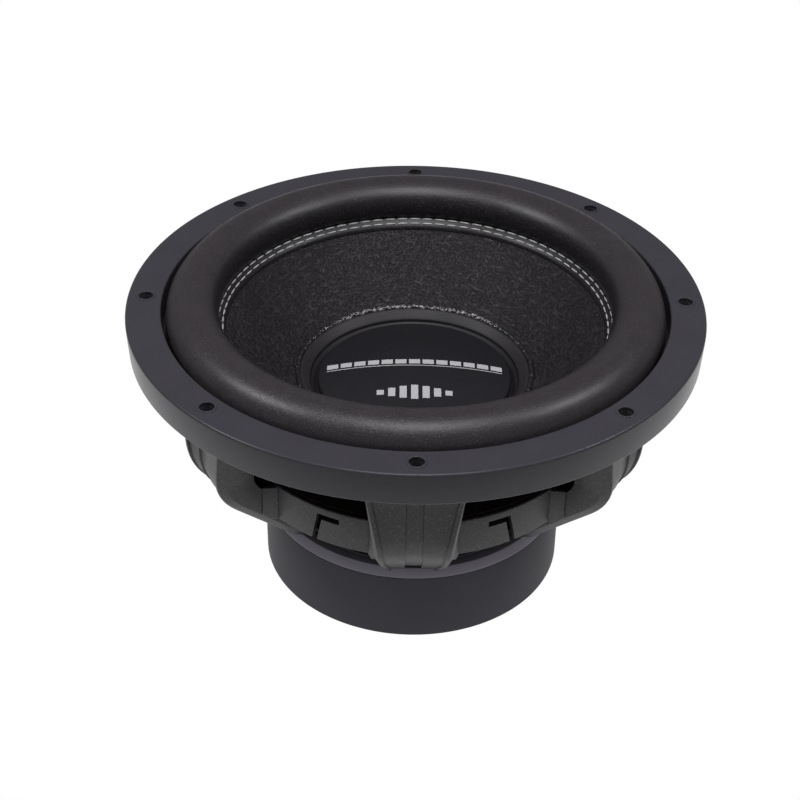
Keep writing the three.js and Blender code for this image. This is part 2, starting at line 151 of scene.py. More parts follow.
class Finish:
    """A material with one Principled shader."""

    def __init__(self, name, **sockets):
        self.material = bpy.data.materials.new(name)
        self.material.use_nodes = True
        self.tree = self.material.node_tree
        self.shader = self.tree.nodes["Principled BSDF"]
        self.set(**sockets)

    def put(self, socket, value):
        if isinstance(value, Value):
            self.tree.links.new(value.socket, socket)
        elif isinstance(value, tuple) and len(value) == 3 and socket.type == "RGBA":
            socket.default_value = (*value, 1)
        else:
            socket.default_value = value

    def node(self, kind, settings=None, inputs=None, output=0):
        made = self.tree.nodes.new(kind)
        for key, value in (settings or {}).items():
            setattr(made, key, value)
        for key, value in (inputs or {}).items():
            self.put(made.inputs[key], value)
        return Value(self, made.outputs[output])

    def set(self, **sockets):
        """Sets the shader's sockets: base_color=..., roughness=..., normal=..."""
        for key, value in sockets.items():
            label = key.replace("_", " ").title().replace("Ior", "IOR")
            self.put(self.shader.inputs[label], value)
        return self

    def place(self, scale=(1, 1, 1), turn=0):
        """Object coordinates, stretched, and turned round Z by an angle in degrees."""
        inputs = {"Scale": scale, "Rotation": (0, 0, math.radians(turn))}
        inputs["Vector"] = self.node("ShaderNodeTexCoord", output="Object")
        return self.node("ShaderNodeMapping", {"vector_type": "TEXTURE"}, inputs)

    def noise(self, size, detail=2, vector=None, roughness=0.5):
        """Noise with blobs of about this size, in metres."""
        inputs = {"Scale": 1 / size, "Detail": detail, "Roughness": roughness}
        inputs["Vector"] = vector or self.place()
        return self.node("ShaderNodeTexNoise", {}, inputs)

    def mix(self, share, first, second):
        """A colour between two colours."""
        inputs = {0: share, 6: first, 7: second}
        return self.node("ShaderNodeMix", {"data_type": "RGBA"}, inputs, output=2)

    def bump(self, height, distance, strength=1.0):
        inputs = {"Height": height, "Distance": distance, "Strength": strength}
        return self.node("ShaderNodeBump", {}, inputs)


print("shader helpers ready")

# %% [markdown]
# ## Finishes
#
# Almost everything here is black, so the finishes differ by grain and sheen and not by colour.
# Rubber is smooth with a wide, weak highlight. Powder coat has a fine sandy bump and a few pale
# grains. The foam of the surround is a brown grey with pale specks, and darker on its sewn lip.
# The cone is pressed from pulp, and its fibres lie in all directions: each direction is a noise
# that is stretched along it, and the strongest of them wins at each point, which gives crossed
# scratches and not blobs. Glue is the one glossy finish, and pale specks at the back of its ring
# are painted glints.


# %% Rubber and plastic
def rubber_finish(name, tint, roughness, grain=0.00035, shine=0.4):
    finish = Finish(name, specular_ior_level=shine)
    patch = finish.noise(0.02, detail=4)
    dust = finish.noise(grain, detail=2)
    shade = finish.mix(patch, tuple(0.88 * c for c in tint), tuple(1.1 * c for c in tint))
    finish.set(base_color=shade, roughness=patch * 0.1 + (roughness - 0.05))
    return finish.set(normal=finish.bump(dust, 0.00002, 0.6)).material


def plastic_finish(name, tint, roughness):
    finish = Finish(name, specular_ior_level=0.5)
    patch = finish.noise(0.008, detail=3)
    fine = finish.noise(0.0002)
    shade = finish.mix(patch, tuple(0.9 * c for c in tint), tint)
    finish.set(base_color=shade, roughness=patch * 0.12 + roughness)
    return finish.set(normal=finish.bump(fine, 0.000008, 0.5)).material


def glue_finish():
    finish = Finish("black_glue", specular_ior_level=0.9)
    lumps = finish.noise(0.003, detail=3)
    fine = finish.noise(0.0014, detail=1).over(0.5, 0.62)
    depth = finish.node("ShaderNodeSeparateXYZ", {}, {0: finish.place()}, output="Y")
    # Pale specks only on the rear of the ring: painted glints where the glossy glue catches the
    # light above.
    painted_glints = fine * lumps * depth.over(0.042, 0.056)  # only on the rear of the ring
    finish.set(base_color=finish.mix(painted_glints, (0.02, 0.018, 0.02), (0.75, 0.72, 0.75)))
    finish.set(roughness=lumps * 0.15 + 0.06)
    return finish.set(normal=finish.bump(lumps, 0.002, 0.9)).material


GLUE = glue_finish()
TRIM = rubber_finish("trim_rubber", (0.052, 0.050, 0.059), 0.3, shine=0.28)
BOOT = rubber_finish("boot_rubber", (0.052, 0.050, 0.059), 0.55, grain=0.0006, shine=0.08)
# Light grey: a painted highlight for the boot's shoulder and lip, which are black rubber.
BOOT_LIP_PAINTED_HIGHLIGHT = rubber_finish("boot_lip_rubber", (0.38, 0.37, 0.41), 0.25, grain=0.0006)
CAP_RING = rubber_finish("cap_ring_rubber", (0.026, 0.023, 0.027), 0.5)
CAP = plastic_finish("cap_plastic", (0.010, 0.009, 0.012), 0.4)
FORMER = plastic_finish("former_polymer", (0.02, 0.02, 0.02), 0.4)
BOARD = plastic_finish("phenolic", (0.03, 0.021, 0.016), 0.45)
RED = plastic_finish("button_red", (0.42, 0.012, 0.012), 0.28)
BLACK = plastic_finish("button_black", (0.012, 0.012, 0.013), 0.28)
PRINT = plastic_finish("silver_print", (0.55, 0.55, 0.57), 0.45)
FERRITE = plastic_finish("ferrite", (0.03, 0.03, 0.032), 0.55)
print("rubber and plastic finishes ready")


# %% Powder coat, foam, pulp and cloth
def powder_coat():
    finish = Finish("basket_paint", specular_ior_level=0.5)
    sand = finish.noise(0.0012, detail=5, roughness=0.7)
    patch = finish.noise(0.03, detail=3)
    glint = finish.noise(0.0012, detail=2).over(0.56, 0.72)
    tone = finish.mix(patch * 0.4 + sand * 0.6, (0.003, 0.003, 0.004), (0.032, 0.030, 0.036))
    finish.set(base_color=finish.mix(glint * 0.6, tone, (0.12, 0.115, 0.125)))
    finish.set(roughness=sand * 0.3 + 0.3)
    return finish.set(normal=finish.bump(sand, 0.0004, 0.75)).material


def foam_rubber():
    finish = Finish("surround_foam", specular_ior_level=0.5)
    grain = finish.noise(0.0011, detail=4, roughness=0.7)
    patch = finish.noise(0.012, detail=3)
    speck = finish.noise(0.0006, detail=1).over(0.58, 0.72)
    base = finish.mix(patch, (0.026, 0.022, 0.026), (0.042, 0.036, 0.040))
    inputs = {0: finish.place(), 1: (1, 1, 0)}
    flat = finish.node("ShaderNodeVectorMath", {"operation": "MULTIPLY"}, inputs)
    radius = finish.node("ShaderNodeVectorMath", {"operation": "LENGTH"}, {0: flat}, output="Value")
    sewn_lip = radius.over(0.1125, 0.1105)
    base = finish.mix(sewn_lip, base, (0.010, 0.008, 0.010))
    finish.set(base_color=finish.mix(speck * 0.5, base, (0.13, 0.12, 0.125)))
    finish.set(roughness=grain * 0.25 + 0.24)
    return finish.set(normal=finish.bump(grain + speck * 0.4, 0.00012, 0.7)).material


# direction in degrees, width in metres and length over width
FIBRES = [(28, 0.0013, 9), (62, 0.0014, 8), (118, 0.0013, 9), (152, 0.0015, 7)]


def pressed_pulp():
    finish = Finish("cone_paper", specular_ior_level=0.4)
    fibre = None
    for turn, width, length in FIBRES:
        stretched = finish.place(scale=(length, 1, 1), turn=turn)
        strand = finish.noise(width, detail=1, vector=stretched).over(0.54, 0.68)
        fibre = strand if fibre is None else fibre.math("MAXIMUM", strand)
    pulp = finish.noise(0.0022, detail=5, roughness=0.7)
    cloud = finish.noise(0.02, detail=2)
    base = finish.mix(pulp, (0.004, 0.003, 0.004), (0.015, 0.012, 0.014))
    finish.set(base_color=finish.mix(fibre * (cloud * 0.5 + 0.2), base, (0.062, 0.054, 0.062)))
    finish.set(roughness=pulp * 0.25 + 0.36)
    return finish.set(normal=finish.bump(fibre * 1.2 + pulp, 0.0006, 0.9)).material


def woven_cloth(name, first, second, pitch):
    finish = Finish(name, roughness=0.85, specular_ior_level=0.2)
    settings = {"wave_type": "BANDS", "bands_direction": "X"}
    warp, weft = (
        finish.node("ShaderNodeTexWave", settings, {"Scale": 0.16 / pitch, "Vector": vector})
        for vector in (finish.place(), finish.place(turn=90))
    )
    weave = warp.math("MAXIMUM", weft)
    age = finish.noise(0.012, detail=3)
    finish.set(base_color=finish.mix(weave * 0.6 + age * 0.4, first, second))
    return finish.set(normal=finish.bump(weave, pitch * 0.3, 0.8)).material


PAINT = powder_coat()
FOAM = foam_rubber()
PULP = pressed_pulp()
SPIDER = woven_cloth("spider_cloth", (0.012, 0.009, 0.006), (0.035, 0.025, 0.016), 0.0006)
TINSEL = woven_cloth("tinsel", (0.25, 0.16, 0.07), (0.62, 0.45, 0.22), 0.0009)
THREAD = woven_cloth("thread", (0.42, 0.41, 0.43), (0.74, 0.73, 0.75), 0.0005)
print("powder coat, foam, pulp and cloth ready")


# %% Metals
def metal_finish(name, tint, roughness, turned=True):
    finish = Finish(name, metallic=1.0)
    patch = finish.noise(0.006, detail=3)
    finish.set(base_color=finish.mix(patch, tuple(0.86 * c for c in tint), tint))
    finish.set(roughness=patch * 0.15 + roughness)
    if turned:  # fine circles left by the lathe
        settings = {"wave_type": "RINGS", "rings_direction": "Z"}
        inputs = {"Scale": 400.0, "Vector": finish.place()}
        rings = finish.node("ShaderNodeTexWave", settings, inputs)
        finish.set(normal=finish.bump(rings, 0.00002, 0.5))
    else:
        finish.set(normal=finish.bump(finish.noise(0.0004), 0.00001, 0.6))
    return finish.material


STEEL = metal_finish("plated_steel", (0.50, 0.50, 0.49), 0.3)
SPRING_STEEL = metal_finish("spring_steel", (0.55, 0.55, 0.54), 0.25, turned=False)
NICKEL = metal_finish("nickel", (0.68, 0.65, 0.60), 0.2, turned=False)
COPPER = metal_finish("copper_sleeve", (0.75, 0.36, 0.2), 0.3)
BLACK_STEEL = metal_finish("black_steel", (0.06, 0.06, 0.062), 0.35, turned=False)


def coil_wire():
    finish = Finish("coil_copper", metallic=1.0)
    settings = {"wave_type": "BANDS", "bands_direction": "Z"}
    turns = finish.node("ShaderNodeTexWave", settings, {"Scale": 200.0, "Vector": finish.place()})
    finish.set(base_color=finish.mix(turns, (0.32, 0.12, 0.05), (0.72, 0.33, 0.16)))
    finish.set(roughness=0.3 + turns * 0.1)
    return finish.set(normal=finish.bump(turns, 0.0002, 0.9)).material


WIRE = coil_wire()
print("metals ready")

# %% [markdown]
# ## Tools for round pieces
#
# Most of a loudspeaker is turned. By hand one would draw half of the section as a chain of
# vertices, close it, and spin it round the axis. The `turn` helper does exactly that. Sizes are
# given in millimetres, as on a drawing. A corner can carry a radius, and `rounded` replaces it
# with an arc, so that each edge catches a thin line of light as a moulded edge does.

# %% Outlines
MM = 0.001
FINE_STEPS = 256
STEPS = 160
SMALL_STEPS = 40


def rounded(corners, steps=4):
    """A closed outline of (radius, height, corner radius) in millimetres, with arcs for corners."""
    outline = []
    for i, corner in enumerate(corners):
        here = Vector(corner[:2])
        size = corner[2] if len(corner) > 2 else 0
        before = (Vector(corners[i - 1][:2]) - here).normalized()
        after = (Vector(corners[(i + 1) % len(corners)][:2]) - here).normalized()
        if size == 0:
            outline.append(tuple(here))
            continue
        half = before.angle(after) / 2
        centre = here + (before + after).normalized() * (size / math.sin(half))
        first = here + before * (size / math.tan(half)) - centre
        last = here + after * (size / math.tan(half)) - centre
        sweep = first.angle_signed(last)
        for k in range(steps + 1):
            turned = Matrix.Rotation(-sweep * k / steps, 2) @ first
            outline.append(tuple(centre + turned))
    return outline


def arc(centre, radius, start, end, steps):
    """Points of an arc, with angles in degrees."""
    angles = np.radians(np.linspace(start, end, steps + 1))
    return [(centre[0] + radius * math.cos(a), centre[1] + radius * math.sin(a)) for a in angles]


print("an edge rounded by 2 mm has", len(rounded([(0, 0), (10, 0, 2), (10, 10)])) - 2, "points")


# %% Spin an outline round the axis
def nothing_selected():
    if bpy.context.mode != "OBJECT":
        bpy.ops.object.mode_set(mode="OBJECT")
    bpy.ops.object.select_all(action="DESELECT")


def only(piece):
    nothing_selected()
    piece.select_set(True)
    bpy.context.view_layer.objects.active = piece


def trace(name, points, closed=True):
    """A new object with a chain of vertices through points, in metres. It is left in edit mode."""
    nothing_selected()
    bpy.ops.mesh.primitive_plane_add(size=MM)
    piece = bpy.context.object
    piece.name = piece.data.name = name
    bpy.ops.object.mode_set(mode="EDIT")
    bpy.ops.mesh.merge(type="CENTER")
    bpy.ops.transform.translate(value=points[0])
    for before, here in zip(points, points[1:]):
        step = tuple(b - a for a, b in zip(before, here))
        bpy.ops.mesh.extrude_vertices_move(TRANSFORM_OT_translate={"value": step})
    if closed:
        bpy.ops.mesh.select_all(action="SELECT")
        bpy.ops.mesh.select_non_manifold(extend=False)
        ends_only(piece)
        bpy.ops.mesh.edge_face_add()
    bpy.ops.mesh.select_all(action="SELECT")
    return piece


def ends_only(piece):
    """In edit mode, selects the two vertices that have a single edge."""
    bpy.ops.object.mode_set(mode="OBJECT")
    mesh = piece.data
    uses = np.zeros(len(mesh.vertices), int)
    for edge in mesh.edges:
        uses[list(edge.vertices)] += 1
    for vertex, count in zip(mesh.vertices, uses):
        vertex.select = bool(count == 1)
    for edge in mesh.edges:
        edge.select = False
    bpy.ops.object.mode_set(mode="EDIT")


def turn(name, outline, steps=STEPS, smooth=32):
    """A closed outline of (radius, height) in millimetres, spun round Z."""
    points = [(r * MM, 0, z * MM) for r, z in outline]
    on_axis = abs(outline[0][0]) < 1e-6 and abs(outline[-1][0]) < 1e-6
    piece = trace(name, points, closed=not on_axis)
    bpy.ops.mesh.spin(steps=steps, angle=2 * math.pi, center=(0, 0, 0), axis=(0, 0, 1))
    bpy.ops.mesh.select_all(action="SELECT")
    bpy.ops.mesh.remove_doubles(threshold=1e-6)
    bpy.ops.mesh.dissolve_degenerate(threshold=1e-7)
    bpy.ops.mesh.select_all(action="SELECT")
    bpy.ops.mesh.normals_make_consistent(inside=False)
    return smoothed(piece, smooth)


def smoothed(piece, degrees=32):
    only(piece)
    bpy.ops.object.shade_smooth_by_angle(angle=math.radians(degrees))
    return piece


# %% Finish, copy and cut
def finished(piece, material, rides="frame", stands_for=()):
    """Gives a piece its material and its place in the model."""
    piece.data.materials.clear()
    piece.data.materials.append(material)
    if rides:
        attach(piece, rides)
    if stands_for:
        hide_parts(*stands_for)
    print(piece.name, len(piece.data.polygons), "faces")
    return piece


def copied(piece, name, matrix):
    """A copy with its own mesh, which is moved by the matrix."""
    twin = piece.copy()
    twin.data = piece.data.copy()
    twin.name = twin.data.name = name
    twin.data.transform(matrix)
    scene.collection.objects.link(twin)
    return twin


def applied(piece, kind, **settings):
    """Adds a modifier and applies it."""
    only(piece)
    modifier = piece.modifiers.new(kind.lower(), kind)
    for key, value in settings.items():
        setattr(modifier, key, value)
    bpy.ops.object.modifier_apply(modifier=modifier.name)
    return piece


def cut(piece, tools):
    """Cuts the tools out of a piece and removes them."""
    for tool in tools:
        applied(piece, "BOOLEAN", operation="DIFFERENCE", solver="EXACT", object=tool)
        bpy.data.objects.remove(tool)
    return piece


def joined(name, pieces):
    only(pieces[0])
    for piece in pieces:
        piece.select_set(True)
    bpy.ops.object.join()
    pieces[0].name = pieces[0].data.name = name
    return pieces[0]


def facing(angle):
    """Turns what was drawn along +Y so that +Y points at an angle round Z, in degrees."""
    return Matrix.Rotation(math.radians(angle - 90), 4, "Z")


def at_angles(piece, angles):
    """Copies of a piece that was drawn along +Y, turned to each angle and joined to one piece."""
    name = piece.name
    twins = [copied(piece, f"{name}_{k}", facing(angle)) for k, angle in enumerate(angles)]
    bpy.data.objects.remove(piece)
    return joined(name, twins)


def all_round(piece, count, first=270):
    return at_angles(piece, [first + 360 * k / count for k in range(count)])


def rod(radius, low, high, at=(0, 0), sides=SMALL_STEPS):
    """A vertical cylinder between two heights, in millimetres, for cutting."""
    nothing_selected()
    middle = (at[0] * MM, at[1] * MM, (low + high) / 2 * MM)
    bpy.ops.mesh.primitive_cylinder_add(
        vertices=sides, radius=radius * MM, depth=(high - low) * MM, location=middle
    )
    return at_origin(bpy.context.object)


def block(low, high):
    """A box between two corners, in millimetres."""
    nothing_selected()
    middle = [(a + b) / 2 * MM for a, b in zip(low, high)]
    bpy.ops.mesh.primitive_cube_add(size=1, location=middle)
    box = bpy.context.object
    box.scale = [(b - a) * MM for a, b in zip(low, high)]
    return at_origin(box)


def at_origin(piece):
    """Moves a piece's place into its mesh."""
    only(piece)
    bpy.ops.object.transform_apply(location=True, rotation=True, scale=True)
    return piece


print("modelling helpers ready")

# %% [markdown]
# ## Trim ring
#
# A thick rubber ring covers the flange. Its face is flat, its outer edge is round enough to hold
# a thin bright line, and its wall leans in a little towards the bottom. Eight screw holes go
# through it, each with a raised lip. The ring is turned, the holes are cut with cylinders, and
# the lip is one small turned ring that is copied eight times.

# %% Trim ring
FLANGE_R = 160
HOLE_CIRCLE = 149.5
HOLE_R = 3.9
LIP_R = 5.3
HOLES = 8
FACE_Z = 172.2
LIP_Z = FACE_Z + 0.45
FLANGE_Z = 153

ring = turn(
    "trim_ring",
    rounded(
        [
            (156.7, FLANGE_Z + 0.3, 0.3),
            (159, FLANGE_Z + 0.3, 0.8),
            (FLANGE_R, FACE_Z, 1.6),
            (140.4, FACE_Z, 0.9),
            (140.4, 158.3),
            (156.7, 158.3),
        ],
        steps=6,
    ),
    FINE_STEPS,
)
hole = rod(HOLE_R, 140, 180, at=(0, HOLE_CIRCLE))
hole.name = "hole"
cut(ring, [all_round(hole, HOLES)])
smoothed(ring)
finished(ring, TRIM, stands_for=["gasket_ring"])

lip_foot = FACE_Z - 1.5
lip_half = [(HOLE_R, lip_foot), (LIP_R, lip_foot), (LIP_R, LIP_Z, 0.35), (HOLE_R, LIP_Z, 0.35)]
lip = turn("hole_lips", rounded(lip_half), SMALL_STEPS)
lip.data.transform(Matrix.Translation((0, HOLE_CIRCLE * MM, 0)))
finished(all_round(lip, HOLES), TRIM)

# %% [markdown]
# ## Surround
#
# The surround is a half roll of foam rubber. Its outer edge is glued under the trim ring and its
# inner edge is sewn to the cone. The section is two arcs, an outer and an inner skin, with a flat
# tongue at the outside and a sloping lip at the inside. Turning it gives an even wall.
#
# When the cone moves, the outer edge stays and the inner edge follows. Here the piece only has
# its place baked into its mesh; no blend between frame and cone is made.

# %% Bake a piece's place into its mesh
def blended(piece):
    """Bakes the piece's place into its mesh."""
    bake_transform(piece)
    return piece


# %% Surround
CONE_SLOPE = 0.8116


def cone_z(r):
    """Height of the cone's upper face, in millimetres."""
    return 155.7 + (r - 105.4) * CONE_SLOPE


ROLL = (123.3, 168)
ROLL_R = 14.6
SKIN = 1.6
tongue_z = FLANGE_Z + 3.3
lip_outline = [
    (110.9, 162.2),
    (110.0, 161.75),
    (107.2, 159.5),
    (106.3, 158.55),
    (105.75, 157.6),
    (105.6, 156.6),
    (105.9, cone_z(105.9) + 0.3),
    (112.5, cone_z(112.5) + 0.3),
]
surround = turn(
    "surround_roll",
    [
        (ROLL[0] + ROLL_R - SKIN, tongue_z),
        (151.5, tongue_z),
        (151.5, tongue_z + 1.7),
        (ROLL[0] + ROLL_R + 1, tongue_z + 1.7),
        (ROLL[0] + ROLL_R, tongue_z + 2.7),
        *arc(ROLL, ROLL_R, 0, 198, 40),
        *lip_outline,
        *arc(ROLL, ROLL_R - SKIN, 197, 0, 28),
    ],
    FINE_STEPS,
    smooth=40,
)
finished(surround, FOAM, rides=None, stands_for=["surround"])
blended(surround)

# %% [markdown]
# ## Stitches
#
# Two rows of pale thread hold the lip to the cone, ninety stitches in a row, side by side. Each
# stitch is a short thread that dives into the rubber at both ends, so it is a slim ellipsoid. One
# is modelled, and repeated by an Array modifier whose offset object is turned by four degrees.

# %% Stitches
STITCHES = 90
STITCH_HALF_SIZE = (0.58 * MM, 0.45 * MM, 3.1 * MM)


def stitch_row(name, r, z):
    nothing_selected()
    bpy.ops.mesh.primitive_uv_sphere_add(segments=12, ring_count=8, radius=1)
    stitch = bpy.context.object
    stitch.name = stitch.data.name = name
    bpy.ops.object.mode_set(mode="EDIT")
    bpy.ops.mesh.select_all(action="SELECT")
    bpy.ops.transform.resize(value=STITCH_HALF_SIZE)
    bpy.ops.object.mode_set(mode="OBJECT")
    slope = math.atan(CONE_SLOPE)
    lay_down = Matrix.Rotation(slope, 4, "X") @ Matrix.Rotation(math.pi / 2, 4, "Y")
    stitch.data.transform(Matrix.Translation((0, r * MM, z * MM)) @ lay_down)
    hub = bpy.data.objects.new("hub", None)
    scene.collection.objects.link(hub)
    hub.rotation_euler.z = 2 * math.pi / STITCHES
    bpy.context.view_layer.update()
    applied(
        stitch, "ARRAY", count=STITCHES, use_relative_offset=False,
        use_object_offset=True, offset_object=hub,
    )
    bpy.data.objects.remove(hub)
    smoothed(stitch, 60)
    return finished(stitch, THREAD, rides="cone_assembly")


stitch_row("stitches_outer", 109.5, 161.6)
stitch_row("stitches_inner", 107.2, 159.8)

# %% [markdown]
# ## Cone, glue and dust cap
#
# The cone is a thin paper funnel that ends in a short neck on the coil former. A glossy bead of
# black glue runs where the rubber ring of the dust cap meets the paper. The cap itself is a
# shallow dome inside a dark groove.

# %% Cone
NECK_R = 38.4
PAPER = 1.9
cone = turn(
    "cone_paper",
    [
        (NECK_R, cone_z(NECK_R) - PAPER),
        (111.5, cone_z(111.5) - PAPER),
        (112.4, cone_z(112.4) - 0.9),
        (112.2, cone_z(112.2)),
        (NECK_R, cone_z(NECK_R)),
    ],
    FINE_STEPS,
)
finished(cone, PULP, rides="cone_assembly", stands_for=["cone"])

# %% Glue bead
BEAD_CENTRE = (66.6, cone_z(66.6) + 0.9)
bead = turn("glue_bead", arc(BEAD_CENTRE, 1.6, -130, 170, 9), FINE_STEPS, smooth=80)
WAVES = [(7, 0.16), (13, 0.12), (29, 0.1), (47, 0.06)]  # waves round the ring, and their size
for vertex in bead.data.vertices:
    angle = math.atan2(vertex.co.y, vertex.co.x)
    swell = sum(size * math.sin(count * angle + count) for count, size in WAVES)
    out = Vector((math.cos(angle), math.sin(angle), 0))
    vertex.co += (out + Vector((0, 0, 1))) * swell * MM * 0.8
finished(bead, GLUE, rides="cone_assembly")

# %% Rubber ring of the cap
cap_ring = turn(
    "cap_ring",
    rounded(
        [
            (59.6, cone_z(59.6) + 0.3),
            (65.6, cone_z(65.6) + 0.3, 0.3),
            (65.5, 125.4, 0.9),
            (63.8, 125.3, 0.8),
            (60.4, 121.9, 0.6),
            (59.6, 121.0, 0.4),
        ]
    ),
    FINE_STEPS,
)
finished(cap_ring, CAP_RING, rides="cone_assembly", stands_for=["cap_trim_ring"])

# %% Dust cap
DOME_R = 55
DOME_TOP = 127.5
DOME_RISE = 6.5


def dome_z(r):
    return DOME_TOP - DOME_RISE * (r / DOME_R) ** 2


dome_top = [(r, dome_z(r)) for r in np.linspace(DOME_R - 0.6, 0, 24)]
dome_under = [(r, dome_z(r) - 1.5) for r in np.linspace(0, DOME_R - 1.5, 12)]
cap = turn(
    "dust_cap_dome",
    [
        *dome_under,
        (54.2, cone_z(54.2) + 0.4),
        (59.2, cone_z(59.2) + 0.4),
        (59.2, 119.4),
        (56.3, 117.7),
        (55.6, 118.0),
        (55.2, 120.2),
        (DOME_R - 0.1, dome_z(DOME_R) - 0.25),
    ]
    + dome_top,
    FINE_STEPS,
    smooth=25,
)
finished(cap, CAP, rides="cone_assembly", stands_for=["dust_cap"])

# %% [markdown]
# ## Print on the cap
#
# The cap carries a plain printed mark in silver: a row of blocks over a fine line, and under them
# a row of upright level bars, as on a meter. Each bar is a box a tenth of a millimetre thick, cut
# into strips, and its points are lifted on to the dome by the dome's own formula.

# %% Printed bars
INK = 0.12


def printed_bar(left, right, low, high):
    bar = block((left, low, 0), (right, high, INK))
    bpy.ops.object.mode_set(mode="EDIT")
    bpy.ops.mesh.select_all(action="SELECT")
    bpy.ops.mesh.subdivide(number_cuts=max(2, int((right - left) / 6)))
    bpy.ops.object.mode_set(mode="OBJECT")
    for vertex in bar.data.vertices:
        vertex.co.z += (dome_z(vertex.co.xy.length / MM) - 0.02) * MM
    return bar


blocks = [printed_bar(-50 + 7.8 * k, -50 + 7.8 * k + 6.4, 2.4, 6.8) for k in range(13)]
fine_line = [printed_bar(-50, 50, 0.4, 1.0)]
levels = [4, 7, 10, 12, 10, 7, 4]
meter = [
    printed_bar(6.4 * k - 2 - 19.2, 6.4 * k + 2 - 19.2, -24 - height / 2, -24 + height / 2)
    for k, height in enumerate(levels)
]
print_mark = joined("printed_mark", blocks + fine_line + meter)
finished(print_mark, PRINT, rides="cone_assembly")

# %% [markdown]
# ## Basket
#
# The basket is one casting. It is built here from the parts a foundry pattern has: three turned
# rings (the flange, the shelf that holds the spider, and the ring that is bolted to the motor),
# six deep arms, the gussets that tie them to the shelf, and two ledges for the terminals. They
# overlap, as patterns do, and share one finish, so they read as one casting.

# %% Flange, shelf and base ring
SHELF_Z = 95.7
SKIRT_R = 103
SKIRT_Z = 72.5
MAGNET_TOP_Z = 48
ARM_ANGLES = [30, 90, 150, 210, 270, 330]
FOOT_Z = MAGNET_TOP_Z + 0.3
BOLT_CIRCLE = 62
BOLT_BORE = 2.9
BOLT_ANGLES = [45, 135, 225, 315]

flange = turn(
    "basket_flange",
    rounded(
        [
            (138.6, 150.4, 0.6),
            (141.6, 150.4, 0.6),
            (141.6, FLANGE_Z),
            (156.2, FLANGE_Z, 0.5),
            (156.2, FLANGE_Z + 3, 0.4),
            (138.6, FLANGE_Z + 3, 0.4),
        ]
    ),
    FINE_STEPS,
)
cut(flange, [all_round(rod(HOLE_R, 150, 158, at=(0, HOLE_CIRCLE)), HOLES)])
finished(smoothed(flange), PAINT, stands_for=["basket"])

base_ring = turn(
    "basket_base_ring",
    rounded([(44.5, FOOT_Z, 0.5), (77.4, FOOT_Z, 0.3), (77.4, 52.5, 1.2), (44.5, 52.5, 1.0)]),
    STEPS,
)
cut(base_ring, [at_angles(rod(BOLT_BORE, 40, 60, at=(0, BOLT_CIRCLE)), BOLT_ANGLES)])
finished(smoothed(base_ring), PAINT, stands_for=["basket"])

# %% [markdown]
# The skirt under the shelf has an L-shaped window in four of its six bays, mirrored left to right.
# Each window is cut by two blocks: a level one under the shelf, and a narrow one that leans.

# %% Skirt with windows
skirt = turn(
    "basket_skirt",
    rounded(
        [
            (89, SHELF_Z - 3, 0.6),
            (SKIRT_R - 2.8, SHELF_Z - 3, 1.5),
            (SKIRT_R - 2.8, SKIRT_Z, 0.5),
            (SKIRT_R, SKIRT_Z, 0.7),
            (SKIRT_R, SHELF_Z, 1.1),
            (89, SHELF_Z, 0.6),
        ]
    ),
    STEPS,
)
WINDOW_BAYS = [(0, -1), (180, 1), (240, 1), (300, -1)]  # angle, and the side the leg leans to
windows = []
for bay, side in WINDOW_BAYS:
    level = block((-6, 94, 87.5), (6, 108, 91))
    level.data.transform(facing(bay + side * 3.7))
    leg = block((-1.6, 94, -14), (1.6, 112, 9.5))
    lean = Matrix.Rotation(math.radians(-side * 12), 4, "Y")
    leg.data.transform(facing(bay - side * 0.6) @ Matrix.Translation((0, 0, 81.5 * MM)) @ lean)
    windows += [level, leg]
cut(skirt, windows)
finished(smoothed(skirt), PAINT, stands_for=["basket"])

# %% [markdown]
# ## Arms
#
# An arm is a deep channel: two rails on its outer face with a shallow groove between them, a
# chamfer beside each rail, and side walls that reach in to the shelf. It runs down from the
# flange, bends inwards under the shelf and ends on the motor. Going down, the groove gets narrower
# but the rails keep their width. Extruding and scaling a section would scale the rails too, so
# the sections are computed at stations along the path and joined to a skin. The rest is done with
# the bisect operator, a boolean for the notch in the foot, and a bevel that rounds the edges as a
# casting has them.

# %% Stations along an arm
# radius and height of the outer face, half width at the face, half width at the walls, depth
ARM_STATIONS = np.array(
    [
        (142, 151.2, 28.2, 29.2, 6),
        (135.5, 144, 26.4, 27.4, 13),
        (134, 134, 24.6, 25.8, 18),
        (134, 104, 19.6, 21.6, 21),
        (131.5, 94, 18.4, 21.2, 20.5),
        (126, 85.8, 17.6, 21, 19),
        (108, 69, 16.2, 19.8, 16),
        (80, 42.8, 14.2, 17.5, 10),
    ]
)


def arm_stations(count=72, passes=8):
    """Even steps along the arm, with the bends smoothed."""
    lengths = np.hypot(*np.diff(ARM_STATIONS[:, :2], axis=0).T)
    along = np.concatenate([[0], np.cumsum(lengths)])
    even = np.linspace(0, along[-1], count)
    path = np.stack([np.interp(even, along, column) for column in ARM_STATIONS.T], axis=1)
    for _ in range(passes):
        path[1:-1] = (path[:-2] + path[1:-1] * 2 + path[2:]) / 4
    return path


def arm_section(half, root, depth):
    """Points (x, depth) of one section, from right to left and back over the face."""
    right = [
        (4.25, 2.3),
        (4.65, 1.3),
        (half - 2.9, 1.3),
        (half - 2.3, 0),
        (half, 0),
        (root, 4.5),
        (root + 0.3, depth),
        (root - 2.3, depth),
        (root - 3, 5.2),
        (half - 3.6, 4.6),
    ]
    return right + [(-x, d) for x, d in reversed(right)]


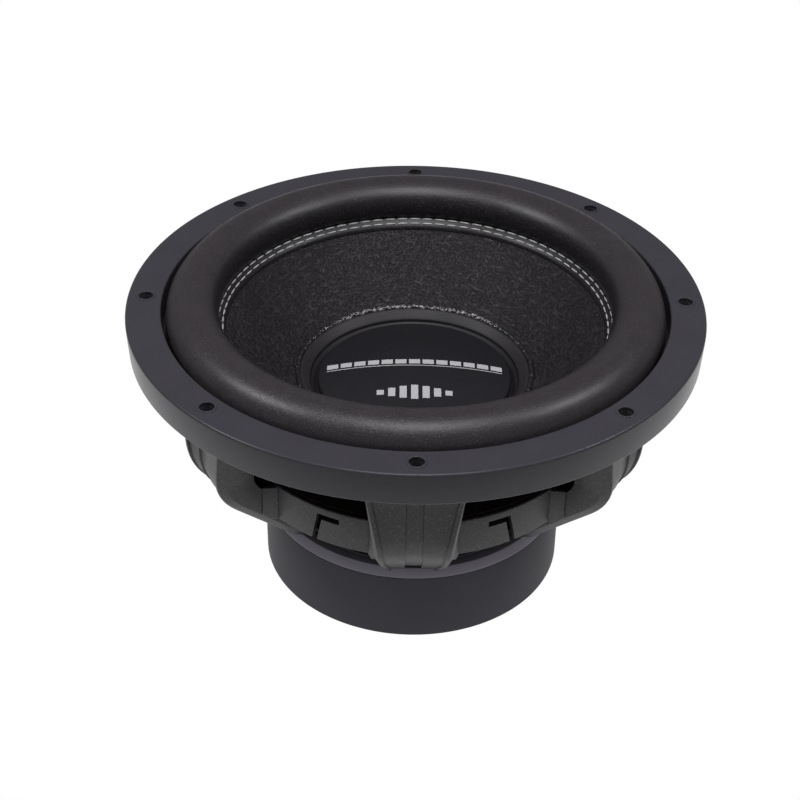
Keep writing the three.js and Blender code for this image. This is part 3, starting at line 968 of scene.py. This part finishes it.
# %% One arm, and five copies
path = arm_stations()
points = []
for i, (r, z, half, root, depth) in enumerate(path):
    step = path[min(i + 1, len(path) - 1)] - path[max(i - 1, 0)]
    dr, dz = step[:2] / np.hypot(*step[:2])
    section = arm_section(half, root, depth)
    points += [(x * MM, (r + dz * d) * MM, (z - dr * d) * MM) for x, d in section]
wide = len(section)
faces = []
for station in range(len(path) - 1):
    for k in range(wide):
        a, b = station * wide + k, station * wide + (k + 1) % wide
        faces.append((a, b, b + wide, a + wide))
faces += [tuple(range(wide)), tuple(range(len(points) - 1, len(points) - wide - 1, -1))]
arm_mesh = bpy.data.meshes.new("basket_arms")
arm_mesh.from_pydata(points, [], faces)
arm = bpy.data.objects.new("basket_arms", arm_mesh)
scene.collection.objects.link(arm)

only(arm)
bpy.ops.object.mode_set(mode="EDIT")
bpy.ops.mesh.select_all(action="SELECT")
bpy.ops.mesh.normals_make_consistent(inside=False)
foot = (0, 0, FOOT_Z * MM)
bpy.ops.mesh.bisect(plane_co=foot, plane_no=(0, 0, 1), use_fill=True, clear_inner=True)
bpy.ops.object.mode_set(mode="OBJECT")
foot_notch = block((-4.5, 78.5, 40), (4.5, 105, 60))
cut(arm, [foot_notch])
sharp = math.radians(28)
applied(arm, "BEVEL", width=0.7 * MM, segments=2, limit_method="ANGLE", angle_limit=sharp)
smoothed(arm, 40)
arm = at_angles(arm, ARM_ANGLES)
finished(arm, PAINT, stands_for=["basket"])

# %% [markdown]
# The gussets and the ledges are drawn in plan and extruded up. A plane along the back of the arm
# then trims the lower edge of each gusset.

# %% Gussets and ledges
def plan_block(name, outline, low, high):
    """A plan outline in millimetres, extruded between two heights."""
    piece = trace(name, [(x * MM, y * MM, low * MM) for x, y in outline])
    bpy.ops.mesh.edge_face_add()
    bpy.ops.mesh.extrude_region_move(TRANSFORM_OT_translate={"value": (0, 0, (high - low) * MM)})
    bpy.ops.mesh.select_all(action="SELECT")
    bpy.ops.mesh.normals_make_consistent(inside=False)
    bpy.ops.object.mode_set(mode="OBJECT")
    return piece


def softened(piece, width, segments=2):
    """Rounds every sharp edge of a piece."""
    settings = {"limit_method": "ANGLE", "angle_limit": math.radians(30)}
    applied(piece, "BEVEL", width=width * MM, segments=segments, **settings)
    return smoothed(piece, 40)


GUSSET_PLAN = [(20, 99), (24, 99), (24.8, 100), (21.4, 108), (20, 108)]
gussets = [
    plan_block("gusset", [(side * x, y) for x, y in GUSSET_PLAN], SKIRT_Z, 94.5) for side in (-1, 1)
]
gusset = joined("basket_gussets", gussets)
bpy.ops.object.mode_set(mode="EDIT")
bpy.ops.mesh.select_all(action="SELECT")
back_of_arm, outwards = (0, 104.5 * MM, 72.3 * MM), (0, 7.9, -8.5)
bpy.ops.mesh.bisect(plane_co=back_of_arm, plane_no=outwards, use_fill=True, clear_outer=True)
bpy.ops.object.mode_set(mode="OBJECT")
softened(gusset, 0.6)
finished(at_angles(gusset, ARM_ANGLES), PAINT, stands_for=["basket"])

BOARD_ANGLES = [60, 120]
SCREW_X, SCREW_Y = 17, 104.6
SCREW_BORE = 1.9
LEDGE_PLAN = [(-24, 99.5), (24, 99.5), (21, 108.2), (-21, 108.2)]
ledge = plan_block("basket_ledges", LEDGE_PLAN, 86, SHELF_Z - 0.1)
softened(ledge, 0.8)
screw_holes = [rod(SCREW_BORE, 88, 100, at=(side * SCREW_X, SCREW_Y)) for side in (-1, 1)]
cut(ledge, [joined("holes", screw_holes)])
finished(at_angles(ledge, BOARD_ANGLES), PAINT, stands_for=["basket"])

# %% [markdown]
# ## Motor
#
# The magnet wears a smooth rubber boot that hides everything but the middle of the rest face.
# Its shoulder and the lip that turns in over the top plate are a turned piece of their own, a thin
# light grey shell whose colour is a painted highlight for the bright band there. Under the boot are
# two ferrite rings between steel plates, and they keep the shapes of the design. Through the middle
# runs a vent, with a punched steel screen.

# %% Boot
boot = turn(
    "boot",
    rounded(
        [
            (60.4, 0, 0.4),
            (85.5, 0, 0.8),
            (87.3, 1.8, 1.2),
            (87.3, MAGNET_TOP_Z - 4.6, 1.4),
            (83.2, MAGNET_TOP_Z, 1.2),
            (77.7, MAGNET_TOP_Z, 0.8),
            (77.7, MAGNET_TOP_Z - 2.4),
            (84.3, MAGNET_TOP_Z - 2.4),
            (84.3, 2.7),
            (60.4, 2.7),
        ],
        steps=5,
    ),
    FINE_STEPS,
)
finished(boot, BOOT, stands_for=["magnet_boot"])

# A shell just over the boot's shoulder and lip; its light grey is a painted highlight.
shoulder = [
    (77.8, MAGNET_TOP_Z - 1),
    (82.4, MAGNET_TOP_Z - 1),
    (86.6, MAGNET_TOP_Z - 5),
    (87.1, MAGNET_TOP_Z - 4.2, 0.4),
    (83.3, MAGNET_TOP_Z + 0.12, 0.8),
    (77.8, MAGNET_TOP_Z + 0.12, 0.5),
]
boot_lip = turn("boot_lip", rounded(shoulder), FINE_STEPS)
finished(boot_lip, BOOT_LIP_PAINTED_HIGHLIGHT)

# %% Plates, screen and ferrite
plate = [(41.6, 39.8), (77.2, 39.8, 0.6), (77.2, MAGNET_TOP_Z, 0.8), (41.6, MAGNET_TOP_Z, 0.6)]
top_plate = turn("top_plate_disc", rounded(plate), STEPS)
cut(top_plate, [at_angles(rod(BOLT_BORE, 30, 60, at=(0, BOLT_CIRCLE)), BOLT_ANGLES)])
finished(smoothed(top_plate), STEEL, stands_for=["top_plate"])

pole = turn(
    "yoke",
    rounded(
        [
            (18.5, 0, 0.4),
            (60, 0, 0.6),
            (60, 3),
            (80, 3, 0.6),
            (80, 11, 0.6),
            (36, 11),
            (36, 29.7),
            (34.6, 29.7),
            (34.6, 48.6, 0.8),
            (17.5, 48.6, 0.6),
            (14.5, 45, 1.5),
            (14.5, 6, 1.5),
        ]
    ),
    STEPS,
)
finished(pole, STEEL, stands_for=["t_yoke"])

screen = turn("screen", [(0, 1), (15.6, 1), (15.8, 1.2), (15.8, 1.6), (15.6, 1.8), (0, 1.8)], 64)
cut(screen, [joined("punches", [rod(2.8, 0, 4), all_round(rod(2.8, 0, 4, at=(0, 8.6)), 7)])])
finished(smoothed(screen), BLACK_STEEL, stands_for=["vent_screen"])

for name, material, slot in (
    ("magnet_upper", FERRITE, "ferrite"),
    ("magnet_lower", FERRITE, "ferrite"),
    ("shorting_ring", COPPER, "copper_sleeve"),
):
    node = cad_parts[name]
    node.data.materials.clear()
    node.data.materials.append(material)

# %% [markdown]
# ## Coil, spider and leads
#
# The coil sits on a black former that is glued to the cone's neck. The spider is a pleated cloth
# disc. Its pleats are sines, so its section is computed and then turned. Its inner edge moves with
# the cone and its outer edge is glued to the shelf; as with the surround, it only has its place
# baked into its mesh. The four braided leads are sewn to the spider all the way and are treated the
# same.

# %% Coil
former = turn("former", [(37.6, 26), (38.1, 26), (38.1, 103.5), (37.6, 103.5)], STEPS)
finished(former, FORMER, rides="cone_assembly", stands_for=["voice_coil_former"])
copper = [(38.4, 28, 0.3), (40, 28, 0.5), (40, 60, 0.5), (38.4, 60, 0.3)]
winding = turn("winding", rounded(copper), STEPS)
finished(winding, WIRE, rides="cone_assembly", stands_for=["voice_coil_winding"])

# %% Spider
CLOTH = 0.7
CLOTH_Z = SHELF_Z + 0.3 + CLOTH


def spider_z(r):
    """Upper face of the spider: flat outside, four sine pleats, and a collar on the neck."""
    if r > 88 or r < 41:
        return CLOTH_Z + (0 if r > 88 else 0.6 + (41 - r) * 0.9)
    swing = math.sin(math.pi * (r - 45) / 5 - math.pi / 2)
    fade = min(1, (88 - r) / 3, (r - 41) / 4)
    return CLOTH_Z + (0.2 + 1.8 * swing) * fade + 0.6 * (1 - min(1, (r - 41) / 4))


radii = [NECK_R + 0.3, *np.linspace(40, 88, 97), 92, 96, 100.5]
upper_skin = [(r, spider_z(r)) for r in radii]
lower_skin = [(r, z - CLOTH) for r, z in upper_skin]
spider_disc = turn("spider_cloth", upper_skin + lower_skin[::-1], 128, smooth=60)
finished(spider_disc, SPIDER, rides=None, stands_for=["spider"])
blended(spider_disc)

# %% Wire along a route
def wire(name, route, radius, sides=6):
    """A round wire through points in millimetres."""
    trace(name, [tuple(c * MM for c in point) for point in route], closed=False)
    bpy.ops.object.mode_set(mode="OBJECT")
    bpy.ops.object.convert(target="CURVE")
    line = bpy.context.object
    line.data.bevel_depth = radius * MM
    line.data.bevel_resolution = max(0, sides // 2 - 2)
    line.data.use_fill_caps = True
    bpy.ops.object.convert(target="MESH")
    made = bpy.context.object
    made.name = made.data.name = name
    bpy.ops.object.mode_set(mode="EDIT")
    bpy.ops.mesh.select_all(action="SELECT")
    bpy.ops.mesh.normals_make_consistent(inside=False)
    bpy.ops.object.mode_set(mode="OBJECT")
    return smoothed(made, 50)


def eased(route, steps=8):
    """A smooth route through the given points (Catmull-Rom)."""
    path = np.array([route[0], *route, route[-1]], float)
    made = [path[1]]
    for a, b, c, d in zip(path, path[1:], path[2:], path[3:]):
        square, cube = 2 * a - 5 * b + 4 * c - d, 3 * b - a - 3 * c + d
        for t in np.linspace(0, 1, steps + 1)[1:]:
            made.append(0.5 * (2 * b + (c - a) * t + square * t**2 + cube * t**3))
    return [tuple(point) for point in made]


# %% Four braided leads
# number, angle of the board, and side of the board
TERMINALS = [
    (board * 2 + i + 1, angle, side)
    for board, angle in enumerate(BOARD_ANGLES)
    for i, side in enumerate((-1, 1))
]

for number, angle, side in TERMINALS:
    route = [
        (side * 5.6, 41.6, 100.3),
        (side * 6.6, 55, 100.5),
        (side * 9, 80, 100.3),
        (side * 10.4, 96, 100.1),
        (side * 10.9, 102.5, 101),
        (side * 11, 108.4, 101.1),
    ]
    lead = wire(f"lead_{number}", eased(route), 0.85, sides=10)
    lead.data.transform(facing(angle))
    finished(lead, TINSEL, rides=None, stands_for=[f"tinsel_lead_{number}"])
    blended(lead)

# %% [markdown]
# ## Bolts and terminals
#
# Four hex socket bolts hold the basket to the motor. At the back two boards each carry two push
# terminals: a nickel post, a spring, and a button with a wire hole. Pushing the button up lines
# its hole up with the hole of the post. The spring is a helix, and it is squashed by the button.

# %% Bolts
shank = [(0, 41.5), (2.5, 41.5, 0.3), (2.5, 52.8)]
head = [(4.2, 52.8, 0.3), (4.2, 57.4, 0.7), (0, 57.4)]
bolt = turn("bolts", rounded(shank + head, steps=3), SMALL_STEPS)
cut(bolt, [rod(2, 54.8, 60, sides=6)])
bolt.data.transform(Matrix.Translation((0, BOLT_CIRCLE * MM, 0)))
smoothed(bolt)
bolt_names = [f"basket_bolt_{k}" for k in (1, 2, 3, 4)]
finished(at_angles(bolt, BOLT_ANGLES), BLACK_STEEL, stands_for=bolt_names)

# %% Terminal boards
POST_X, POST_Y = 11, 117.5
POST_BORE = 2.9
BOARD_PLAN = [(-22, 103), (22, 103), (22, 121), (18, 125), (-18, 125), (-22, 121)]
for number, angle in enumerate(BOARD_ANGLES, start=1):
    board = plan_block(f"board_{number}", BOARD_PLAN, 96, 98.8)
    softened(board, 0.5, segments=3)
    holes = [rod(POST_BORE, 90, 102, at=(side * POST_X, POST_Y)) for side in (-1, 1)]
    holes += [rod(SCREW_BORE, 90, 102, at=(side * SCREW_X, SCREW_Y)) for side in (-1, 1)]
    cut(board, [joined("holes", holes)])
    board.data.transform(facing(angle))
    finished(smoothed(board), BOARD, stands_for=[f"terminal_board_{number}"])

# %% Terminals
def level_rod(radius, z, length=20):
    """A cylinder along Y at a height, in millimetres, for cutting a wire hole."""
    nothing_selected()
    middle, lying = (0, 0, z * MM), (math.pi / 2, 0, 0)
    bpy.ops.mesh.primitive_cylinder_add(
        vertices=24, radius=radius * MM, depth=length * MM, location=middle, rotation=lying
    )
    return at_origin(bpy.context.object)


# Half sections of the turned pieces, in millimetres: (radius, height, corner radius).
POST_HALF = [
    (0, 92.4),
    (3.6, 92.4),
    (3.6, 80.7),
    (5.2, 80.7, 0.5),
    (5.2, 95.7, 0.3),
    (2.6, 95.7),
    (2.6, 100.2),
    (4, 100.2),
    (4, 101, 0.4),
    (0, 101),
]
BUTTON_HALF = [
    (0, 68.2),
    (3.2, 67.6),
    (5.4, 67.6, 1.0),
    (5.4, 74, 0.5),
    (3.2, 74),
    (3.2, 88.5, 0.4),
    (0, 88.5),
]
SCREW_HALF = [(0, 90.1), (1.3, 90.1, 0.2), (1.5, 99.1), (3, 99.1, 0.2), (3, 100.9, 1.0), (0, 100.9)]
WIRE_HOLE_R = 2
COIL_R, COIL_LOW, COIL_HIGH, COIL_TURNS = 4.3, 74.65, 80.05, 4

for number, angle, side in TERMINALS:
    seat = facing(angle) @ Matrix.Translation((side * POST_X * MM, POST_Y * MM, 0))

    post = turn(f"post_{number}", rounded(POST_HALF, steps=3), SMALL_STEPS)
    cut(post, [level_rod(WIRE_HOLE_R, 85.5)])
    post.data.transform(seat)
    finished(smoothed(post), NICKEL, stands_for=[f"terminal_post_{number}"])

    button = turn(f"button_{number}", rounded(BUTTON_HALF, steps=3), SMALL_STEPS)
    cut(button, [level_rod(WIRE_HOLE_R, 82.5)])
    button.data.transform(seat)
    colour, slot = (RED, "button_red") if side < 0 else (BLACK, "button_black")
    hidden = [f"terminal_button_{number}"]
    finished(smoothed(button), colour, rides=f"button_{number}", stands_for=hidden)

    helix = [
        (
            COIL_R * math.cos(2 * math.pi * COIL_TURNS * share),
            COIL_R * math.sin(2 * math.pi * COIL_TURNS * share),
            COIL_LOW + (COIL_HIGH - COIL_LOW) * share,
        )
        for share in np.linspace(0, 1, 24 * COIL_TURNS + 1)
    ]
    spring = wire(f"spring_{number}", helix, 0.3)
    spring.data.transform(seat)
    finished(spring, SPRING_STEEL, stands_for=[f"terminal_spring_{number}"])
    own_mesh(spring)

    tag = block((-2.4, -8.5, 99.1), (2.4, -2, 99.9))
    tag.name = f"tag_{number}"
    eye = rod(4.2, 99.1, 99.9)
    applied(tag, "BOOLEAN", operation="UNION", solver="EXACT", object=eye)
    bpy.data.objects.remove(eye)
    cut(tag, [rod(2.8, 98, 101)])
    tag.data.transform(seat)
    finished(smoothed(tag), NICKEL, stands_for=[f"solder_tag_{number}"])

    screw = turn(f"screw_{number}", rounded(SCREW_HALF, steps=3), SMALL_STEPS)
    cross = [block((-x, -y, 100), (x, y, 102)) for x, y in ((1.8, 0.35), (0.35, 1.8))]
    cut(screw, cross)
    screw_seat = Matrix.Translation((side * SCREW_X * MM, SCREW_Y * MM, 0))
    screw.data.transform(facing(angle) @ screw_seat)
    finished(smoothed(screw), BLACK_STEEL, stands_for=[f"board_screw_{number}"])


# %% [markdown]
# ## Floor
#
# The background is plain white with no shadow, so the floor is a sheet that glows white. The glow
# fades to grey outside the frame, or it would wash out every wall that faces the camera.

# %% Floor, sizes and the end
nothing_selected()
bpy.ops.mesh.primitive_plane_add(size=8, location=(0, 0, -0.0002))
floor = bpy.context.object
floor.name = "floor"
WHITE_CENTRE = (0, 0.42, 0)
WHITE_R, GREY_R = 0.66, 0.9
glow = Finish("floor_glow", base_color=(0, 0, 0), roughness=1.0, specular_ior_level=0.0)
inputs = {0: glow.place(), 1: WHITE_CENTRE}
away = glow.node("ShaderNodeVectorMath", {"operation": "DISTANCE"}, inputs, output=1)
fading = glow.mix(away.over(WHITE_R, GREY_R), (1, 1, 1), (0.2, 0.2, 0.2))
glow.set(emission_color=fading, emission_strength=1.0)
floor.data.materials.append(glow.material)
